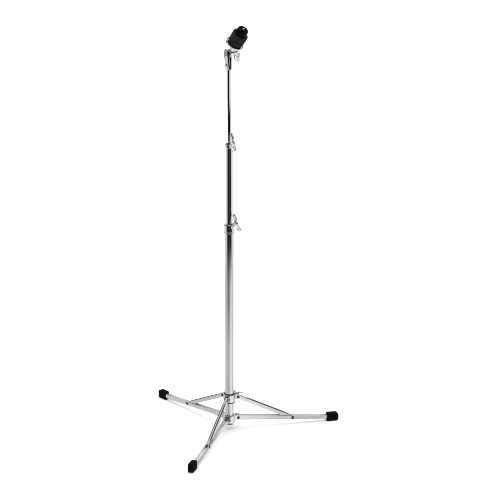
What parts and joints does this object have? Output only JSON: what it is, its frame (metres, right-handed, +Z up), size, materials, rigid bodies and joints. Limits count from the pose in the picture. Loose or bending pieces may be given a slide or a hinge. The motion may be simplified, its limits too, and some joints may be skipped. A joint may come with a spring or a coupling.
{
  "type": "cymbal stand",
  "caption": "Straight cymbal stand with flat folding legs, telescoping chromed tubes, inclined wing-screw clamps and a toothed tilter with felts and a quick-release nut.",
  "frame": {"origin": "on the floor under the centre of the bounding box; the column axis stands at x 0, y 0.080", "axes": "+Z up along the column, one leg points to -Y (front)"},
  "size_m": [0.5882, 0.51, 1.2001],
  "materials": {
    "chrome": "mirror-bright chrome plate on steel tube and die castings",
    "leg_steel": "plated pressed steel channel, slightly satin",
    "foot_rubber": "moulded black rubber, matt",
    "nylon": "black nylon, satin",
    "pin_steel": "dark plated rivet steel",
    "insert_steel": "zinc plated steel, satin",
    "felt": "dense pressed wool felt, charcoal",
    "nut_plastic": "moulded black engineering plastic, satin"
  },
  "bodies": {
    "base": {"base_tube": "chrome", "base_hub": "chrome", "tube_plug": "nylon", "lower_collar": "chrome", "lower_bushing": "nylon", "hub_pin_front": "pin_steel", "hub_pin_right": "pin_steel", "hub_pin_left": "pin_steel"},
    "slider": {"slider_collar": "chrome", "slider_bushing": "nylon", "collar_pin_front": "pin_steel", "collar_pin_right": "pin_steel", "collar_pin_left": "pin_steel"},
    "slider_screw": {"slider_wing_screw": "chrome"},
    "middle_tube": {"mid_tube": "chrome", "mid_tube_guide": "nylon", "upper_collar": "chrome", "upper_bushing": "nylon"},
    "lower_screw": {"lower_wing_screw": "chrome"},
    "upper_screw": {"upper_wing_screw": "chrome"},
    "rod": {"top_rod": "chrome", "rod_guide": "nylon"},
    "tilter": {"tilter_body": "chrome", "tilter_set_screw": "insert_steel", "tilter_ratchet_washer": "insert_steel", "tilter_nut": "insert_steel"},
    "tilter_screw": {"tilter_wing_screw": "chrome"},
    "post": {"cymbal_post": "chrome", "seat_washer": "chrome", "post_sleeve": "nylon"},
    "felt_lower": {"lower_felt": "felt"},
    "felt_upper": {"upper_felt": "felt"},
    "nut": {"quick_release_nut": "nut_plastic"},
    "button_right": {"nut_button_right": "nut_plastic"},
    "button_left": {"nut_button_left": "nut_plastic"},
    "leg_front": {"leg_front": "leg_steel", "foot_front": "foot_rubber", "leg_pin_front": "pin_steel"},
    "brace_front": {"brace_front": "leg_steel"},
    "leg_right": {"leg_right": "leg_steel", "foot_right": "foot_rubber", "leg_pin_right": "pin_steel"},
    "brace_right": {"brace_right": "leg_steel"},
    "leg_left": {"leg_left": "leg_steel", "foot_left": "foot_rubber", "leg_pin_left": "pin_steel"},
    "brace_left": {"brace_left": "leg_steel"}
  },
  "joints": [
    {"name": "slider_slide", "type": "slide", "parent": "base", "child": "slider", "axis": [0, 0, 1], "range_m": [0, 0.2837]},
    {"name": "leg_hinge_front", "type": "hinge", "parent": "base", "child": "leg_front", "pos_m": [0, 0.05546, 0.0351], "axis": [-1, 0, 0], "range_deg": [0, 86.98]},
    {"name": "brace_hinge_front", "type": "hinge", "parent": "leg_front", "child": "brace_front", "pos_m": [0, -0.11124, 0.0206], "axis": [1, 0, 0], "range_deg": [0, 144.2]},
    {"name": "leg_hinge_right", "type": "hinge", "parent": "base", "child": "leg_right", "pos_m": [0.02165, 0.09296, 0.0351], "axis": [0.5, -0.866, 0], "range_deg": [0, 86.98]},
    {"name": "brace_hinge_right", "type": "hinge", "parent": "leg_right", "child": "brace_right", "pos_m": [0.16602, 0.17631, 0.0206], "axis": [-0.5, 0.866, 0], "range_deg": [0, 144.2]},
    {"name": "leg_hinge_left", "type": "hinge", "parent": "base", "child": "leg_left", "pos_m": [-0.02165, 0.09296, 0.0351], "axis": [0.5, 0.866, 0], "range_deg": [0, 86.98]},
    {"name": "brace_hinge_left", "type": "hinge", "parent": "leg_left", "child": "brace_left", "pos_m": [-0.16602, 0.17631, 0.0206], "axis": [-0.5, -0.866, 0], "range_deg": [0, 144.2]},
    {"name": "slider_screw_turn", "type": "hinge", "parent": "slider", "child": "slider_screw", "pos_m": [0, 0.08046, 0.103], "axis": [0, 1, 0], "continuous": true},
    {"name": "middle_tube_slide", "type": "slide", "parent": "base", "child": "middle_tube", "axis": [0, 0, 1], "range_m": [-0.185, 0.26]},
    {"name": "lower_screw_turn", "type": "hinge", "parent": "base", "child": "lower_screw", "pos_m": [0, 0.08046, 0.6149], "axis": [0.6824, -0.394, 0.6157], "continuous": true},
    {"name": "upper_screw_turn", "type": "hinge", "parent": "middle_tube", "child": "upper_screw", "pos_m": [0, 0.08046, 0.8529], "axis": [0.5601, -0.5543, 0.6157], "continuous": true},
    {"name": "rod_slide", "type": "slide", "parent": "middle_tube", "child": "rod", "axis": [0, 0, 1], "range_m": [-0.17, 0.235]},
    {"name": "head_swivel", "type": "hinge", "parent": "rod", "child": "tilter", "pos_m": [0, 0.08046, 1.0864], "axis": [0, 0, 1], "continuous": true},
    {"name": "tilt", "type": "hinge", "parent": "tilter", "child": "post", "pos_m": [0, 0.08046, 1.1194], "axis": [0.4939, 0.8695, 0], "range_deg": [-130, 50]},
    {"name": "tilter_screw_turn", "type": "hinge", "parent": "tilter", "child": "tilter_screw", "pos_m": [0, 0.08046, 1.1194], "axis": [0.4939, 0.8695, 0], "continuous": true},
    {"name": "lower_felt_slide", "type": "slide", "parent": "post", "child": "felt_lower", "axis": [0.5589, -0.3175, 0.766], "range_m": [0, 0.065]},
    {"name": "upper_felt_slide", "type": "slide", "parent": "felt_lower", "child": "felt_upper", "axis": [0.5589, -0.3175, 0.766], "range_m": [0, 0.045]},
    {"name": "nut_slide", "type": "slide", "parent": "felt_upper", "child": "nut", "axis": [0.5589, -0.3175, 0.766], "range_m": [0, 0.03]},
    {"name": "button_right_press", "type": "slide", "parent": "nut", "child": "button_right", "axis": [-0.4939, -0.8695, 0], "range_m": [0, 0.0021], "stiffness_N_per_m": 900, "springref_m": -0.001},
    {"name": "button_left_press", "type": "slide", "parent": "nut", "child": "button_left", "axis": [0.4939, 0.8695, 0], "range_m": [0, 0.0021], "stiffness_N_per_m": 900, "springref_m": -0.001}
  ],
  "couplings": [
    {"joint": "leg_hinge_front", "follows": "slider_slide", "rad_per_m": 5.3497},
    {"joint": "brace_hinge_front", "follows": "slider_slide", "rad_per_m": 8.8669},
    {"joint": "leg_hinge_right", "follows": "slider_slide", "rad_per_m": 5.3497},
    {"joint": "brace_hinge_right", "follows": "slider_slide", "rad_per_m": 8.8669},
    {"joint": "leg_hinge_left", "follows": "slider_slide", "rad_per_m": 5.3497},
    {"joint": "brace_hinge_left", "follows": "slider_slide", "rad_per_m": 8.8669}
  ]
}
